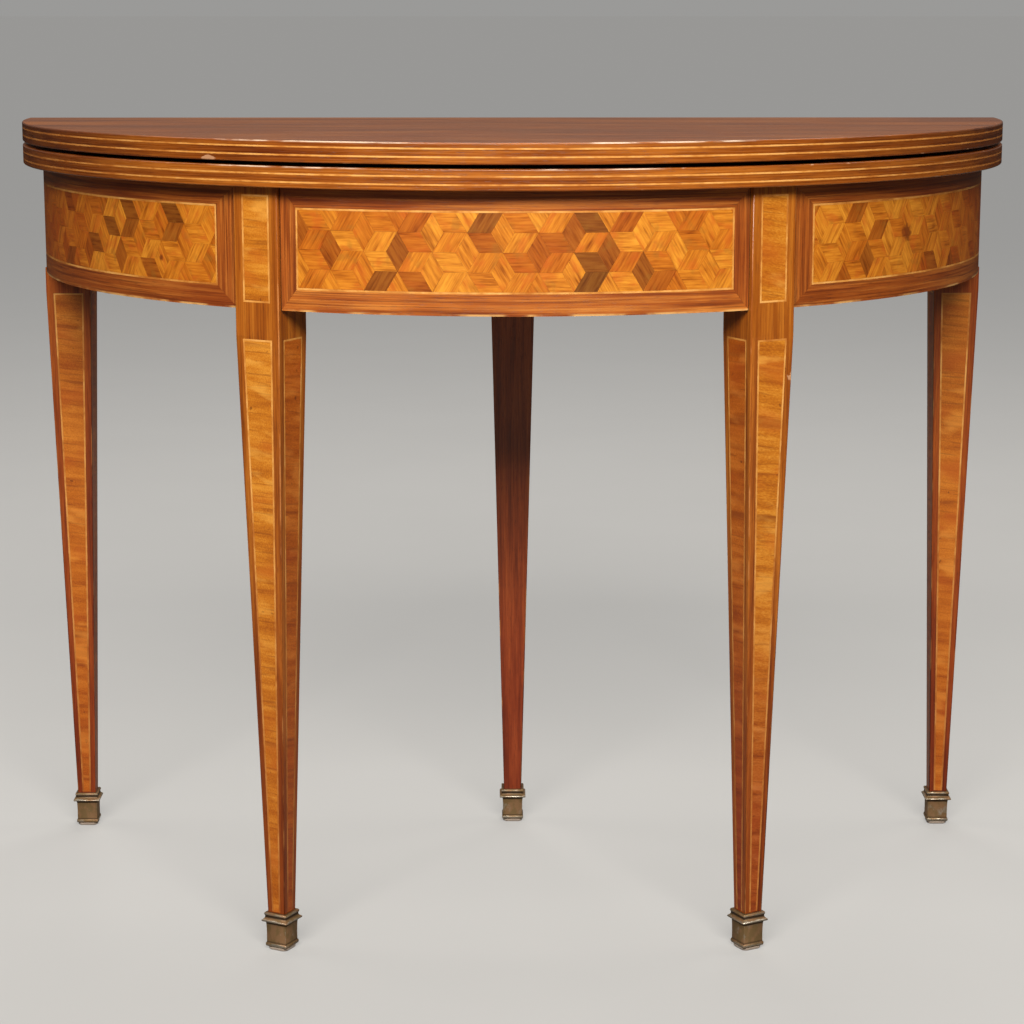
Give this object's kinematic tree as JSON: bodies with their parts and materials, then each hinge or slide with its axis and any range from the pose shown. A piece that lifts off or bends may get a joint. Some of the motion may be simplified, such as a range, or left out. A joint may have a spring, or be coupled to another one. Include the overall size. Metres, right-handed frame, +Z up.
{
  "type": "demilune games table",
  "caption": "Half-round fold-over games table with a parquetry frieze, tapered inlaid legs in bronze shoes, a hinged upper leaf and a back leg that slides out to carry it.",
  "frame": {"origin": "on the floor, under the middle of the closed table's box", "axes": "+Z up, the curved front faces -Y, +X to the right of someone facing the front"},
  "size_m": [1.03, 0.5223, 0.7754],
  "materials": {
    "leaf_veneer": "french polished",
    "boxwood": "polished",
    "crossbanding": "polished",
    "parquetry": "polished",
    "panel_veneer": "polished",
    "leg_wood": "polished",
    "carcase_wood": "unpolished",
    "bronze": "patinated",
    "hinge_brass": "dulled",
    "screw_steel": "dulled",
    "baize": "napped wool",
    "felt": "felt"
  },
  "bodies": {
    "frame": {"lower_leaf": "leaf_veneer", "lower_leaf_stringing": "boxwood", "lower_baize": "baize", "lower_hinge_plates": "hinge_brass", "lower_hinge_screws": "screw_steel", "hinge_pins": "screw_steel", "top_screws": "screw_steel", "frieze_left_rail": "carcase_wood", "frieze_left_banding": "crossbanding", "frieze_left_stringing": "boxwood", "frieze_left_parquetry": "parquetry", "frieze_centre_rail": "carcase_wood", "frieze_centre_banding": "crossbanding", "frieze_centre_stringing": "boxwood", "frieze_centre_parquetry": "parquetry", "frieze_right_rail": "carcase_wood", "frieze_right_banding": "crossbanding", "frieze_right_stringing": "boxwood", "frieze_right_parquetry": "parquetry", "front_left_leg": "leg_wood", "front_left_leg_panels": "panel_veneer", "front_left_leg_stringing": "boxwood", "front_right_leg": "leg_wood", "front_right_leg_panels": "panel_veneer", "front_right_leg_stringing": "boxwood", "back_left_leg": "leg_wood", "back_left_leg_panels": "panel_veneer", "back_left_leg_stringing": "boxwood", "back_right_leg": "leg_wood", "back_right_leg_panels": "panel_veneer", "back_right_leg_stringing": "boxwood", "front_left_sabot": "bronze", "front_left_foot_pad": "felt", "front_right_sabot": "bronze", "front_right_foot_pad": "felt", "back_left_sabot": "bronze", "back_left_foot_pad": "felt", "back_right_sabot": "bronze", "back_right_foot_pad": "felt", "back_rail_left": "carcase_wood", "back_rail_right": "carcase_wood", "drawer_guide_left": "carcase_wood", "drawer_guide_right": "carcase_wood", "guide_bearer": "carcase_wood", "glue_blocks": "carcase_wood"},
    "fold_leaf": {"upper_leaf": "leaf_veneer", "upper_leaf_stringing": "boxwood", "upper_baize": "baize", "upper_hinge_plates": "hinge_brass", "upper_hinge_screws": "screw_steel"},
    "drawer_leg": {"back_centre_leg": "leg_wood", "back_centre_sabot": "bronze", "back_centre_foot_pad": "felt", "drawer_back_left": "carcase_wood", "drawer_back_right": "carcase_wood", "drawer_side_left": "carcase_wood", "drawer_side_right": "carcase_wood", "drawer_inner_end": "carcase_wood", "drawer_bottom": "carcase_wood", "drawer_stop_pins": "carcase_wood"}
  },
  "joints": [
    {"name": "leaf_hinge", "type": "hinge", "parent": "frame", "child": "fold_leaf", "pos_m": [0, 0.2539, 0.7542], "axis": [-1, 0, 0], "range_deg": [0, 180]},
    {"name": "leg_slide", "type": "slide", "parent": "frame", "child": "drawer_leg", "axis": [0, 1, 0], "range_m": [0, 0.3]}
  ]
}
